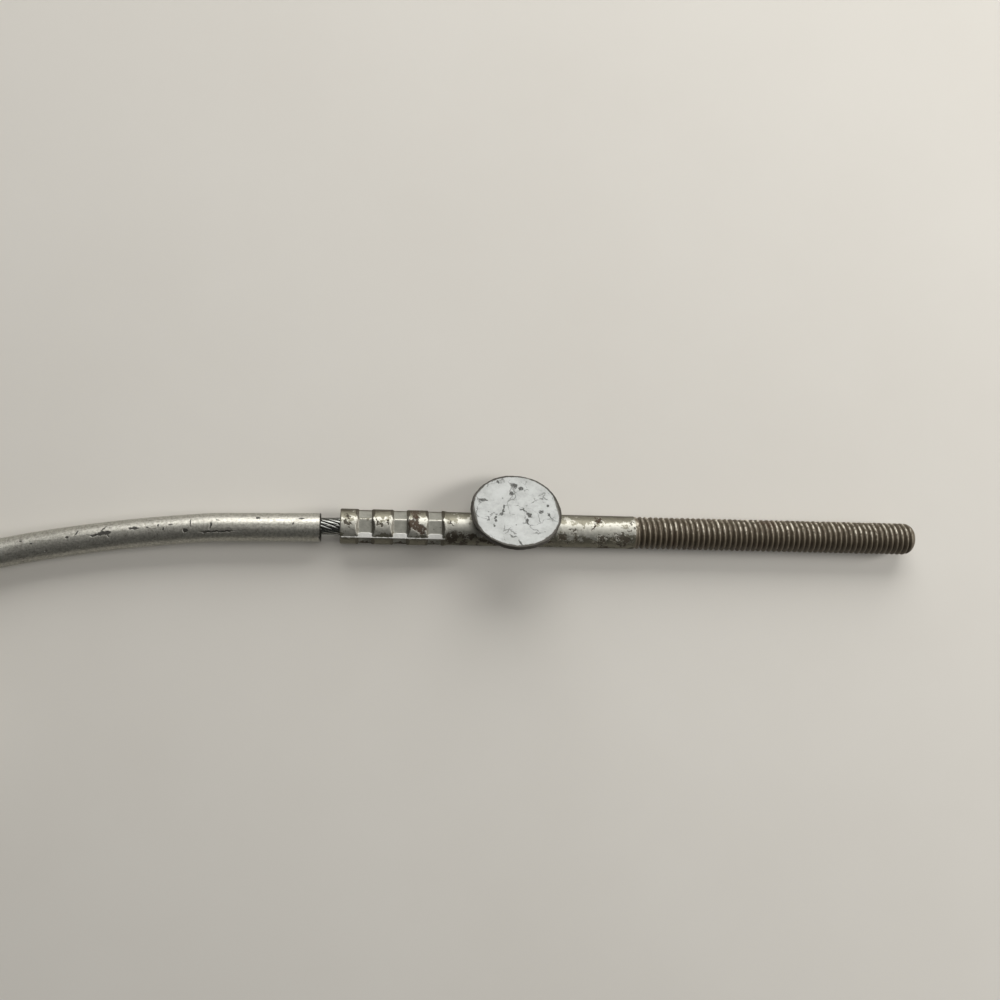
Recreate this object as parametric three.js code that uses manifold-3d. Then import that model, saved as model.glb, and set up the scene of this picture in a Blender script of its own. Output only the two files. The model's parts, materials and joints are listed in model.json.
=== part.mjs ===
// Rear brake cable: a casing with a sliding inner wire, which ends in a swaged, threaded rod
// with a round stop disc. Sizes are in millimetres.
// +X runs along the rod to its threaded tip, +Y to the side that the disc leans to, and +Z is up.
// The origin lies on the floor, under the middle of the rod and its disc.

import * as THREE from "three";
import { mergeVertices } from "three/addons/utils/BufferGeometryUtils.js";
import Module from "manifold-3d";

// Clearance between neighbouring pieces, and how far a cutting tool runs past the face that it cuts
const CLEARANCE = 0.3;
const OVERSHOOT = 1;

// Rod: a swaged socket, a plain shank and an M6 thread, made as one piece
const SOCKET_DIAMETER = 6.2;
const SOCKET_CHAMFER = 0.15;
const CRIMP_COUNT = 3;
const CRIMP_LENGTH = 3.2;
const CRIMP_PITCH = 6.15;
const CRIMP_WALL_SLOPE = 0.45;
const CRIMP_ACROSS_FLATS = 4.9;
const CRIMP_ACROSS_CORNERS = 5.52;
const FIRST_LAND_LENGTH = 2.7;
const FLASH_THICKNESS = 0.4;
const FLASH_HEIGHT = 0.25;
const FLASH_PAD_WIDTH = 0.95;
const FLASH_PAD_DROP = 0.05;
const FLASH_ANGLE = 35;
const SHANK_DIAMETER = 5.9;
const SHANK_LENGTH = 35.4;
const SHANK_BLEND_LENGTH = 0.9;
const THREAD_DIAMETER = 5.9;
const THREAD_LENGTH = 52.7;
const TIP_ROUND_LENGTH = 2.1;
const TIP_FLAT_DIAMETER = 2.6;

// Stop disc: a round button on a short flared neck, welded across the rod
const DISC_DIAMETER = 16.4;
const DISC_RIM_THICKNESS = 0.9;
const DISC_RIM_ROUND = 0.2;
const DISC_FACE_HEIGHT = 5.7;
const DISC_LEAN = 39;
const DISC_FROM_MOUTH = 30.7;
const DISC_BEVEL_DEPTH = 1;
const DISC_BEVEL_DROP = 0.55;
const NECK_TOP_DIAMETER = 13.6;
const NECK_FOOT_DIAMETER = 9;
const NECK_FOOT_HEIGHT = 1.2;

// Inner wire and casing
const WIRE_DIAMETER = 3;
const WIRE_IN_SOCKET = 10;
const WIRE_IN_CASING = 11;
const WIRE_SHOWING = 3.35;
const WIRE_BORE_PLAY = 0.05;
const WIRE_SIDE_GAP = 0.13;
const CASING_DIAMETER = 5;
const JACKET_WALL = 0.3;
const CONDUIT_WALL = 0.25;
const JACKET_GAP = 0.1;
const CASING_LEAD_ANGLE = 1.2;
const CASING_MOUTH_OFFSET = 0.32;

// Coil: the stored length of casing, in two layers that are wound one turn inside the other
const COIL_OUTER_TURN_RADIUS = 29.5;
const COIL_TURN_SPACING = 5.1;
const COIL_TURNS_PER_LAYER = 2;
const COIL_LAYER_HEIGHT = 5;
const COIL_CENTRE_X = -95.2;
const COIL_TOP_Y = -8.5;
const TIE_THICKNESS = 0.6;
const TIE_WIDTH = 3.6;
const TIE_ANGLES = [205, 335];

// Far end: the casing's tail, its ferrule and the barrel nipple on the wire
const TAIL_START_X = -112;
const TAIL_LENGTH = 17;
const FERRULE_LENGTH = 12.2;
const FERRULE_WALL = 0.55;
const FERRULE_END_WALL = 0.9;
const FERRULE_CHAMFER = 0.5;
const FAR_WIRE_SHOWING = 10.3;
const FAR_WIRE_IN_CASING = 4.5;
const NIPPLE_DIAMETER = 6.6;
const NIPPLE_LENGTH = 9;
const NIPPLE_CHAMFER = 0.5;
const SOLDER_POCKET_DEPTH = 0.9;
const SOLDER_POCKET_DIAMETER = 4.6;

// Casing route from its mouth to the coil, in the rod's own coordinates: the rod's axis is y = 0,
// z = 0 and the socket's mouth is x = 0
const RUN_BENDS = [
  [-22, -0.75, -0.03],
  [-27.5, -1.25, -0.15],
  [-34.3, -2, -0.35],
  [-40.9, -2.9, -0.5],
  [-47.6, -4, -0.56],
  [-52.8, -4.98, -0.54],
  [-57.4, -6, -0.35],
  [-62.3, -7, 0.45],
  [-67, -7.75, 1.65],
  [-72, -8.2, 3],
  [-77.5, -8.45, 4.35],
];
const RUN_STRAIGHT_LENGTH = 14.5;
const RUN_STRAIGHT_POINTS = 3;

// Facets
const ROD_SIDES = 48;
const WIRE_SIDES = 24;
const TUBE_SIDES = 12;
const RUN_STEPS = 26;
const TAIL_STEPS = 3;
const COIL_SIDES = 72;
const ROUND_STEPS = 5;

// Sizes that follow from the ones above
const SOCKET_RADIUS = SOCKET_DIAMETER / 2;
const SHANK_RADIUS = SHANK_DIAMETER / 2;
const THREAD_RADIUS = THREAD_DIAMETER / 2;
const WIRE_RADIUS = WIRE_DIAMETER / 2;
const CASING_RADIUS = CASING_DIAMETER / 2;
const SOCKET_LENGTH = FIRST_LAND_LENGTH + (CRIMP_COUNT - 1) * CRIMP_PITCH + CRIMP_LENGTH;
const ROD_LENGTH = SOCKET_LENGTH + SHANK_LENGTH + THREAD_LENGTH;
const WIRE_BORE_RADIUS = WIRE_RADIUS + CLEARANCE + WIRE_BORE_PLAY;
const JACKET_BORE_RADIUS = CASING_RADIUS - JACKET_WALL;
const CONDUIT_RADIUS = JACKET_BORE_RADIUS - JACKET_GAP;
const CONDUIT_BORE_RADIUS = CONDUIT_RADIUS - CONDUIT_WALL;
const WIRE_OFFSET_IN_CASING = CONDUIT_BORE_RADIUS - WIRE_RADIUS - WIRE_SIDE_GAP;
const TIE_REACH = CLEARANCE + TIE_THICKNESS;
const FLOOR_Z = -SOCKET_RADIUS;
const COIL_CENTRE_Y = COIL_TOP_Y - COIL_OUTER_TURN_RADIUS;
const COIL_LOWER_Z = FLOOR_Z + TIE_REACH + CASING_RADIUS;
const COIL_OUTER_RADIUS = COIL_OUTER_TURN_RADIUS + CASING_RADIUS;
const COIL_INNER_TURN_RADIUS = COIL_OUTER_TURN_RADIUS - (COIL_TURNS_PER_LAYER - 1) * COIL_TURN_SPACING;
const COIL_INNER_RADIUS = COIL_INNER_TURN_RADIUS - CASING_RADIUS;
const COIL_HEIGHT = COIL_LAYER_HEIGHT + CASING_DIAMETER;
const TAIL_END_X = TAIL_START_X - TAIL_LENGTH;
const FERRULE_MOUTH_X = TAIL_END_X - CLEARANCE - FERRULE_END_WALL;
const NIPPLE_X = FERRULE_MOUTH_X - FAR_WIRE_SHOWING - NIPPLE_DIAMETER / 2;

const wasm = await Module();
wasm.setup();

const degrees = THREE.MathUtils.degToRad;

// Closed solid of a closed geometry, with its shared corners merged
function solidOf(geometry) {
  const bare = new THREE.BufferGeometry();
  bare.setAttribute("position", geometry.getAttribute("position").clone());
  bare.setIndex(geometry.getIndex());
  const merged = mergeVertices(bare, 1e-4);
  const corners = merged.getIndex().array;
  const triangles = [];
  for (let i = 0; i < corners.length; i += 3) {
    const [a, b, c] = corners.slice(i, i + 3);
    if (a !== b && b !== c && c !== a) triangles.push(a, b, c);
  }
  const mesh = new wasm.Mesh({
    numProp: 3,
    vertProperties: new Float32Array(merged.getAttribute("position").array),
    triVerts: new Uint32Array(triangles),
  });
  return new wasm.Manifold(mesh);
}

function geometryOf(solid) {
  const mesh = solid.getMesh();
  const geometry = new THREE.BufferGeometry();
  geometry.setAttribute("position", new THREE.BufferAttribute(mesh.vertProperties, 3));
  geometry.setIndex(new THREE.BufferAttribute(mesh.triVerts, 1));
  geometry.computeVertexNormals();
  return geometry;
}

// Solid of revolution round X, from a profile of [x, radius] points that runs towards +X
function turned(profile, sides) {
  const points = profile.map(([x, radius]) => new THREE.Vector2(radius, x));
  const geometry = new THREE.LatheGeometry(points, sides);
  geometry.rotateZ(-Math.PI / 2);
  return solidOf(geometry);
}

// Round bar along X, from x = start to x = end
function bar(start, end, radius, sides = ROD_SIDES) {
  return turned([[start, 0], [start, radius], [end, radius], [end, 0]], sides);
}

function mesh(name, geometry, material) {
  const piece = new THREE.Mesh(geometry, material);
  piece.name = name;
  return piece;
}

// Materials
const rustySteel = new THREE.MeshStandardMaterial({ color: 0x8d8a80, roughness: 0.4, metalness: 0.9 });
const discSteel = new THREE.MeshStandardMaterial({ color: 0xc6c9cb, roughness: 0.45, metalness: 0.7 });
const wireSteel = new THREE.MeshStandardMaterial({ color: 0x77736a, roughness: 0.35, metalness: 0.95 });
const silverPaint = new THREE.MeshStandardMaterial({ color: 0xb4b5b4, roughness: 0.5, metalness: 0.5 });
const conduitSteel = new THREE.MeshStandardMaterial({ color: 0x5d5b57, roughness: 0.5, metalness: 0.8 });
const zincPlate = new THREE.MeshStandardMaterial({ color: 0xa6a8a6, roughness: 0.4, metalness: 0.9 });
const blackTie = new THREE.MeshStandardMaterial({ color: 0x232323, roughness: 0.6, metalness: 0 });

function crimpStart(index) {
  return FIRST_LAND_LENGTH + index * CRIMP_PITCH;
}

// Profile along the rod of one half-width: full on the lands, and narrowed at each crimp by
// sloping walls
function crimpedProfile(landRadius, crimpRadius, wallSlope) {
  const profile = [];
  for (let i = 0; i < CRIMP_COUNT; i += 1) {
    const start = crimpStart(i);
    const end = start + CRIMP_LENGTH;
    profile.push([start, landRadius], [start + wallSlope, crimpRadius]);
    profile.push([end - wallSlope, crimpRadius], [end, landRadius]);
  }
  return profile;
}

// Round stock: chamfered mouth, crimp corners, blend to the shank, shank, stud and domed tip
function roundStock() {
  const profile = [[0, 0], [0, SOCKET_RADIUS - SOCKET_CHAMFER], [SOCKET_CHAMFER, SOCKET_RADIUS]];
  profile.push(...crimpedProfile(SOCKET_RADIUS, CRIMP_ACROSS_CORNERS / 2, CRIMP_WALL_SLOPE));
  const threadStart = SOCKET_LENGTH + SHANK_LENGTH;
  profile.push([SOCKET_LENGTH + SHANK_BLEND_LENGTH, SHANK_RADIUS], [threadStart, SHANK_RADIUS]);
  if (THREAD_RADIUS !== SHANK_RADIUS) profile.push([threadStart, THREAD_RADIUS]);
  const flatRadius = TIP_FLAT_DIAMETER / 2;
  for (let i = 0; i <= ROUND_STEPS; i += 1) {
    const turn = (i / ROUND_STEPS) * Math.PI / 2;
    const x = ROD_LENGTH - TIP_ROUND_LENGTH * (1 - Math.sin(turn));
    profile.push([x, flatRadius + (THREAD_RADIUS - flatRadius) * Math.cos(turn)]);
  }
  profile.push([ROD_LENGTH, 0]);
  return turned(profile, ROD_SIDES);
}

// Six-sided envelope that presses the flats into the socket. It clears the rod everywhere else.
function hexEnvelope() {
  const apothemToCorner = 1 / Math.cos(Math.PI / 6);
  const wide = SOCKET_RADIUS + OVERSHOOT / 2;
  const flat = CRIMP_ACROSS_FLATS / 2;
  const wallRun = CRIMP_WALL_SLOPE * (wide - flat) / (SOCKET_RADIUS - flat);
  const lead = wallRun - CRIMP_WALL_SLOPE;
  const profile = [[-OVERSHOOT, 0], [-OVERSHOOT, wide]];
  for (let i = 0; i < CRIMP_COUNT; i += 1) {
    const start = crimpStart(i) - lead;
    const end = crimpStart(i) + CRIMP_LENGTH + lead;
    profile.push([start, wide], [start + wallRun, flat], [end - wallRun, flat], [end, wide]);
  }
  profile.push([ROD_LENGTH + OVERSHOOT, wide], [ROD_LENGTH + OVERSHOOT, 0]);
  const scaled = profile.map(([x, radius]) => [x, radius * apothemToCorner]);
  return turned(scaled, 6);
}

// Flash left by the two die halves: a thin fin on two opposite sides, with a flattened pad of
// lens outline in each crimp
function flashFins() {
  const finReach = SOCKET_RADIUS + FLASH_HEIGHT;
  const fin = new THREE.BoxGeometry(SOCKET_LENGTH - 2 * SOCKET_CHAMFER, FLASH_THICKNESS, 2 * finReach);
  let fins = solidOf(fin.translate(SOCKET_LENGTH / 2, 0, 0));
  const padReach = SOCKET_RADIUS - FLASH_PAD_DROP;
  for (let i = 0; i < CRIMP_COUNT; i += 1) {
    const outline = new THREE.Shape();
    const start = crimpStart(i);
    const end = start + CRIMP_LENGTH;
    const middle = (start + end) / 2;
    outline.moveTo(start, 0);
    outline.quadraticCurveTo(middle, -FLASH_PAD_WIDTH, end, 0);
    outline.quadraticCurveTo(middle, FLASH_PAD_WIDTH, start, 0);
    const lens = new THREE.ExtrudeGeometry(outline, {
      depth: 2 * padReach,
      bevelEnabled: false,
      curveSegments: ROUND_STEPS,
    });
    fins = fins.add(solidOf(lens.translate(0, 0, -padReach)));
  }
  return fins.rotate([FLASH_ANGLE, 0, 0]);
}

function rodEnd() {
  const bore = bar(-OVERSHOOT, WIRE_IN_SOCKET + CLEARANCE, WIRE_BORE_RADIUS);
  return geometryOf(roundStock().intersect(hexEnvelope()).add(flashFins()).subtract(bore));
}

// Disc and neck, turned round X and then set with the disc's axis along +Z
function discStock() {
  const radius = DISC_DIAMETER / 2;
  const face = DISC_FACE_HEIGHT;
  const back = face - DISC_RIM_THICKNESS;
  const footRadius = NECK_FOOT_DIAMETER / 2;
  const topRadius = NECK_TOP_DIAMETER / 2;
  const profile = [[NECK_FOOT_HEIGHT, 0], [NECK_FOOT_HEIGHT, footRadius]];
  for (let i = 1; i <= ROUND_STEPS; i += 1) {
    const turn = (i / ROUND_STEPS) * Math.PI / 2;
    const height = NECK_FOOT_HEIGHT + (back - NECK_FOOT_HEIGHT) * Math.sin(turn);
    profile.push([height, footRadius + (topRadius - footRadius) * (1 - Math.cos(turn))]);
  }
  profile.push([back, radius - DISC_RIM_ROUND], [back + DISC_RIM_ROUND, radius]);
  profile.push([face - DISC_RIM_ROUND, radius], [face, radius - DISC_RIM_ROUND], [face, 0]);
  return turned(profile, ROD_SIDES).rotate([0, -90, 0]);
}

// Block that takes a sloping bevel off the disc's face, at the end that points to side * X
function bevelBlock(side) {
  const size = DISC_DIAMETER;
  const slope = Math.atan2(DISC_BEVEL_DROP, DISC_BEVEL_DEPTH);
  const block = new THREE.BoxGeometry(size, size, size).translate(0, 0, size / 2);
  block.rotateY(side * slope);
  const start = DISC_DIAMETER / 2 - DISC_BEVEL_DEPTH;
  block.translate(side * start, 0, DISC_FACE_HEIGHT);
  return solidOf(block);
}

function stopDisc() {
  const saddle = bar(-DISC_DIAMETER, DISC_DIAMETER, SHANK_RADIUS + CLEARANCE);
  return geometryOf(discStock().subtract(bevelBlock(1)).subtract(bevelBlock(-1)).subtract(saddle));
}

// Polygon outline of a round tube, with its bore as a hole
function tubeSection(outerRadius, boreRadius) {
  const corner = (radius, i) => {
    const turn = (i / TUBE_SIDES) * 2 * Math.PI;
    return new THREE.Vector2(radius * Math.cos(turn), radius * Math.sin(turn));
  };
  const indices = Array.from({ length: TUBE_SIDES }, (_, i) => i);
  const section = new THREE.Shape(indices.map((i) => corner(outerRadius, i)));
  section.holes.push(new THREE.Path(indices.map((i) => corner(boreRadius, i)).reverse()));
  return section;
}

function tube(route, steps, outerRadius, boreRadius) {
  const section = tubeSection(outerRadius, boreRadius);
  return solidOf(new THREE.ExtrudeGeometry(section, { steps, extrudePath: route, bevelEnabled: false }));
}

// Point on the straight line that the casing's mouth and the wire lie on
function leadPoint(distance, offset) {
  const turn = degrees(CASING_LEAD_ANGLE);
  return new THREE.Vector3(
    -WIRE_SHOWING - distance * Math.cos(turn),
    -CASING_MOUTH_OFFSET + offset - distance * Math.sin(turn),
    0,
  );
}

function runRoute() {
  const points = [];
  for (let i = 0; i <= RUN_STRAIGHT_POINTS; i += 1) {
    points.push(leadPoint((i / RUN_STRAIGHT_POINTS) * RUN_STRAIGHT_LENGTH, 0));
  }
  RUN_BENDS.forEach(([x, y, z]) => points.push(new THREE.Vector3(x, y, z)));
  return new THREE.CatmullRomCurve3(points, false, "centripetal");
}

function tailRoute() {
  const start = new THREE.Vector3(TAIL_START_X, COIL_TOP_Y, COIL_LOWER_Z);
  const end = new THREE.Vector3(TAIL_END_X, COIL_TOP_Y, COIL_LOWER_Z);
  return new THREE.LineCurve3(start, end);
}

// Round ring that holds every turn of the coil, grown all over by "grow"
function coilSolid(grow) {
  const corner = CASING_RADIUS + grow;
  const inner = COIL_INNER_RADIUS - grow;
  const outer = COIL_OUTER_RADIUS + grow;
  const half = COIL_HEIGHT / 2 + grow;
  const corners = [
    [outer - corner, -half + corner, -90],
    [outer - corner, half - corner, 0],
    [inner + corner, half - corner, 90],
    [inner + corner, -half + corner, 180],
  ];
  const points = [];
  for (const [radius, height, from] of corners) {
    for (let i = 0; i <= ROUND_STEPS - 1; i += 1) {
      const turn = degrees(from + (90 * i) / (ROUND_STEPS - 1));
      points.push(new THREE.Vector2(radius + corner * Math.cos(turn), height + corner * Math.sin(turn)));
    }
  }
  points.push(points[0].clone());
  const ring = new THREE.LatheGeometry(points, COIL_SIDES).rotateX(Math.PI / 2);
  ring.translate(COIL_CENTRE_X, COIL_CENTRE_Y, COIL_LOWER_Z + COIL_LAYER_HEIGHT / 2);
  return solidOf(ring);
}

// Band tied round the coil's section at one place: a rounded loop, cut out of the grown ring
function coilTie(angle) {
  const loop = coilSolid(TIE_REACH).subtract(coilSolid(CLEARANCE));
  const slab = new THREE.BoxGeometry(COIL_OUTER_RADIUS, TIE_WIDTH, 2 * COIL_HEIGHT);
  slab.translate((COIL_INNER_RADIUS + COIL_OUTER_RADIUS) / 2, 0, 0);
  slab.rotateZ(degrees(angle));
  slab.translate(COIL_CENTRE_X, COIL_CENTRE_Y, COIL_LOWER_Z + COIL_LAYER_HEIGHT / 2);
  return geometryOf(loop.intersect(solidOf(slab)));
}

// Pressed cap over the casing's tail, with a hole in its end wall for the wire
function tailFerrule() {
  const boreRadius = CASING_RADIUS + CLEARANCE;
  const radius = boreRadius + FERRULE_WALL;
  const open = FERRULE_MOUTH_X + FERRULE_LENGTH;
  const shell = turned([
    [FERRULE_MOUTH_X, 0],
    [FERRULE_MOUTH_X, radius - FERRULE_CHAMFER],
    [FERRULE_MOUTH_X + FERRULE_CHAMFER, radius],
    [open, radius],
    [open, 0],
  ], ROD_SIDES);
  const pocket = bar(FERRULE_MOUTH_X + FERRULE_END_WALL, open + OVERSHOOT, boreRadius);
  const hole = bar(FERRULE_MOUTH_X - OVERSHOOT, open, WIRE_BORE_RADIUS);
  return geometryOf(shell.subtract(pocket).subtract(hole));
}

// Barrel that lies across the wire, with a pocket on the far side where the wire is soldered
function barrelNipple() {
  const radius = NIPPLE_DIAMETER / 2;
  const half = NIPPLE_LENGTH / 2;
  const barrel = turned([
    [-half, 0],
    [-half, radius - NIPPLE_CHAMFER],
    [-half + NIPPLE_CHAMFER, radius],
    [half - NIPPLE_CHAMFER, radius],
    [half, radius - NIPPLE_CHAMFER],
    [half, 0],
  ], ROD_SIDES).rotate([0, 0, 90]);
  const hole = bar(-NIPPLE_DIAMETER, NIPPLE_DIAMETER, WIRE_BORE_RADIUS);
  const pocketStart = -radius - OVERSHOOT;
  const pocket = bar(pocketStart, -radius + SOLDER_POCKET_DEPTH, SOLDER_POCKET_DIAMETER / 2);
  return geometryOf(barrel.subtract(hole).subtract(pocket));
}

// The wire's near end: from inside the socket's bore to inside the casing
function innerWire() {
  const length = WIRE_IN_SOCKET + WIRE_SHOWING + WIRE_IN_CASING;
  const shape = new THREE.CylinderGeometry(WIRE_RADIUS, WIRE_RADIUS, length, WIRE_SIDES);
  const wire = mesh("inner_wire", shape, wireSteel);
  const middle = leadPoint(WIRE_IN_CASING - length / 2, WIRE_OFFSET_IN_CASING);
  wire.position.copy(middle);
  wire.rotation.z = degrees(CASING_LEAD_ANGLE) - Math.PI / 2;
  return wire;
}

// The wire's far end: from inside the casing's tail to the nipple's solder pocket
function farWire() {
  const start = NIPPLE_X - NIPPLE_DIAMETER / 2 + SOLDER_POCKET_DEPTH / 2;
  const end = FERRULE_MOUTH_X + FAR_WIRE_IN_CASING;
  const shape = new THREE.CylinderGeometry(WIRE_RADIUS, WIRE_RADIUS, end - start, WIRE_SIDES);
  const wire = mesh("far_wire", shape, wireSteel);
  wire.position.set((start + end) / 2, COIL_TOP_Y, COIL_LOWER_Z);
  wire.rotation.z = Math.PI / 2;
  return wire;
}

function rodGroup() {
  const group = new THREE.Group();
  group.add(mesh("rod_end", rodEnd(), rustySteel));
  const disc = mesh("stop_disc", stopDisc(), discSteel);
  disc.position.x = DISC_FROM_MOUTH;
  disc.rotation.x = -degrees(DISC_LEAN);
  group.add(disc);
  return group;
}

function casingGroup() {
  const group = new THREE.Group();
  const keepOut = coilSolid(CLEARANCE);
  const layers = [["jacket", CASING_RADIUS, JACKET_BORE_RADIUS, silverPaint]];
  layers.push(["conduit", CONDUIT_RADIUS, CONDUIT_BORE_RADIUS, conduitSteel]);
  for (const [name, radius, boreRadius, material] of layers) {
    const run = tube(runRoute(), RUN_STEPS, radius, boreRadius).subtract(keepOut);
    const tail = tube(tailRoute(), TAIL_STEPS, radius, boreRadius).subtract(keepOut);
    group.add(mesh(`${name}_run`, geometryOf(run), material));
    group.add(mesh(`${name}_tail`, geometryOf(tail), material));
  }
  group.add(mesh("casing_coil", geometryOf(coilSolid(0)), silverPaint));
  const tieNames = ["coil_tie_left", "coil_tie_right"];
  TIE_ANGLES.forEach((angle, i) => group.add(mesh(tieNames[i], coilTie(angle), blackTie)));
  return group;
}

function farGroup() {
  const group = new THREE.Group();
  const ferrule = mesh("tail_ferrule", tailFerrule(), zincPlate);
  ferrule.position.set(0, COIL_TOP_Y, COIL_LOWER_Z);
  const nipple = mesh("barrel_nipple", barrelNipple(), zincPlate);
  nipple.position.set(NIPPLE_X, COIL_TOP_Y, COIL_LOWER_Z);
  group.add(ferrule, farWire(), nipple);
  return group;
}

// How far the leaning disc reaches to each side of the rod's axis
function sideReach() {
  const lean = degrees(DISC_LEAN);
  const radius = DISC_DIAMETER / 2;
  const high = DISC_FACE_HEIGHT * Math.sin(lean) + radius * Math.cos(lean);
  const low = (DISC_FACE_HEIGHT - DISC_RIM_THICKNESS) * Math.sin(lean) - radius * Math.cos(lean);
  return [Math.min(low, -SOCKET_RADIUS), Math.max(high, SOCKET_RADIUS)];
}

const cable = new THREE.Group();
const [lowReach, highReach] = sideReach();
cable.position.set(-ROD_LENGTH / 2, -(lowReach + highReach) / 2, SOCKET_RADIUS);
cable.add(rodGroup(), innerWire(), casingGroup(), farGroup());
cable.updateMatrixWorld(true);

export default cable;
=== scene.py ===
"""Looks of the rear brake cable: casing, stranded inner wire, swaged and threaded rod, stop disc.

Sizes are in millimetres in the cable's own coordinates, which start at the socket's mouth on the
rod's axis, and become metres in the frame when a mesh is made.
"""

import json
import math

import bpy
import numpy as np
from mathutils import Matrix, Vector


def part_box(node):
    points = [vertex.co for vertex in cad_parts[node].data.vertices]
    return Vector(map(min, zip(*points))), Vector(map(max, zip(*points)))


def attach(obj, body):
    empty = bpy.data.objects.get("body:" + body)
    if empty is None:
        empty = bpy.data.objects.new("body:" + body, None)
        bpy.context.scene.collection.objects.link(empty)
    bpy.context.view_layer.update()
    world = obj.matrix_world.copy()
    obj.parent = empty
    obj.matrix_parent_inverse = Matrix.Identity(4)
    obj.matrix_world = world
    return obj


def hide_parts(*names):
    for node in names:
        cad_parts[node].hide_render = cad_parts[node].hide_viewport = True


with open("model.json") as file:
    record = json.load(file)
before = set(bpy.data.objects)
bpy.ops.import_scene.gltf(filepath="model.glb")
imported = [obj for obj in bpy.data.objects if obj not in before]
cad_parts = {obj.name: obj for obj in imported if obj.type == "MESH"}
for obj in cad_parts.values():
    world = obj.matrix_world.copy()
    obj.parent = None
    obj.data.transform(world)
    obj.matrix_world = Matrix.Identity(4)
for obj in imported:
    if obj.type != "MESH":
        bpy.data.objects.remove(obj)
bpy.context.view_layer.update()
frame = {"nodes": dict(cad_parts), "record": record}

MM = 0.001

# Rod, in millimetres
SOCKET_RADIUS = 3.1
SOCKET_CHAMFER = 0.12
SOCKET_CHAMFER_DROP = SOCKET_CHAMFER * 0.6
CRIMP_STARTS = [2.65, 8.78, 14.92]
CRIMP_LENGTH = 3.42
CRIMP_SLOPE = 0.6
CRIMP_FLAT = 2.54
CRIMP_CORNER = 2.94
CRIMP_EDGE_ROUND = 0.08
CRIMP_FLOOR_RISE = 0.03
LAND_EDGE_ROUND = 0.04
FLAT_HALF_ANGLE = 26
SOCKET_LENGTH = 18.2
SHANK_RADIUS = 2.95
SHANK_BLEND = 0.9
THREAD_START = 52.7
THREAD_PITCH = 1.0
THREAD_DEPTH = 0.56
THREAD_RUNOUT = 0.8
THREAD_CREST_POWER = 0.75
TIP_ROUND = 2.1
TIP_FLAT = 1.3
TIP_EDGE_ROUND = 0.12
WIRE_BORE = 1.85
WIRE_BORE_DEPTH = 10.3
BORE_FLARE = 0.12
FIN_ANGLE = 126
FIN_REACH = 3.28
FIN_WIDTH = 0.46
FIN_OVERRUN = 0.05
FIN_WAVES = [(0.018, 5.1, 0), (0.012, 11.7, 1.3)]
FIN_DISTANCE = 2.8
PAD_REACH = 3.2
PAD_WIDTH = 0.84
PAD_DISTANCE = 2.8
SHELF_LEAN = 28

# Stop disc
DISC_X = 30.7
DISC_RADIUS = 8.2
DISC_RIM = 0.9
DISC_FACE = 5.7
DISC_LEAN = 39
DISC_EDGE = 0.2
DISC_INSET = 0.13
DISC_WAVES = [(0.03, 7, 1), (0.022, 19, 0), (0.016, 43, 2)]
BEVEL_START = 7.2
BEVEL_SLOPE = 0.55
BEVEL_TURN = 8
NECK_TOP = 6.8
NECK_FOOT = 4.5
NECK_FOOT_HEIGHT = 1.2
SADDLE_GAP = 0.02
SADDLE_REACH = 9
WELD_RADIUS = 0.42
WELD_END_RADIUS = 0.1
WELD_SWING = 78

# Wire and casing
WIRE_RADIUS = 1.5
STRAND_RADIUS = 0.3
STRAND_SWELL = 0.06
STRAND_COUNT = 12
STRAND_LAY = 20.5
WIRE_IN_SOCKET = 10
WIRE_IN_CASING = 11
WIRE_SHOWING = 3.35
CASING_RADIUS = 2.5
JACKET_BORE = 2.2
CONDUIT_RADIUS = 2.1
CONDUIT_BORE = 1.85
CUT_EDGE_STEPS = [0, 0.07, 0.16, 0.22]
LEAD_ANGLE = 1.2
MOUTH_OFFSET = 0.32
WIRE_OFFSET = 0.22

# Casing route, as in the solids
RUN_BENDS = [
    (-22, -0.75, -0.03),
    (-27.5, -1.25, -0.15),
    (-34.3, -2, -0.35),
    (-40.9, -2.9, -0.5),
    (-47.6, -4, -0.56),
    (-52.8, -4.98, -0.54),
    (-57.4, -6, -0.35),
    (-62.3, -7, 0.45),
    (-67, -7.75, 1.65),
    (-72, -8.2, 3),
    (-77.5, -8.45, 4.35),
]
RUN_STRAIGHT = 14.5
RUN_STRAIGHT_POINTS = 3
COIL_JOIN = [(-83, 5.05), (-89, 5.28)]
COIL_CENTRE_X = -95.2
COIL_TOP_Y = -8.5
COIL_RADIUS = 29.5
COIL_CENTRE_Y = COIL_TOP_Y - COIL_RADIUS
COIL_SPACING = 5.1
COIL_LAYER_TURNS = 2
COIL_LAYER_HEIGHT = 5
COIL_LOWER_Z = 0.3
COIL_POINTS_PER_TURN = 24
COIL_STEP_LEAD = 0.04
COIL_STEP = 0.22
COIL_DROP = 0.2
TAIL_X = [-101, -106, -112, -118, -124, -129]

# Far end
FERRULE_MOUTH_X = -130.2
FERRULE_LENGTH = 12.2
FERRULE_RADIUS = 3.35
FERRULE_WALL_END = 0.9
FERRULE_ROUND = 0.55
FERRULE_CASING_GAP = 0.3
FERRULE_LIP = 0.15
FERRULE_GROOVES = [3.6, 6.4]
GROOVE_DEPTH = 0.2
GROOVE_HALF_WIDTH = 0.7
FAR_WIRE_SHOWING = 10.3
FAR_WIRE_IN_CASING = 4.5
NIPPLE_RADIUS = 3.3
NIPPLE_HALF = 4.5
NIPPLE_EDGE = 0.4
NIPPLE_X = FERRULE_MOUTH_X - FAR_WIRE_SHOWING - NIPPLE_RADIUS
NIPPLE_PLACE = (NIPPLE_X, COIL_TOP_Y, COIL_LOWER_Z)
WIRE_IN_POCKET = 0.45
SOLDER_PROFILE = [(0, 0), (0.06, 1.0), (0.3, 1.9), (0.75, 2.3), (1.6, 2.3), (1.6, 0)]
TIE_ANGLES = {"left": 205, "right": 335}
TIE_WIDTH = 3.4
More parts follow.
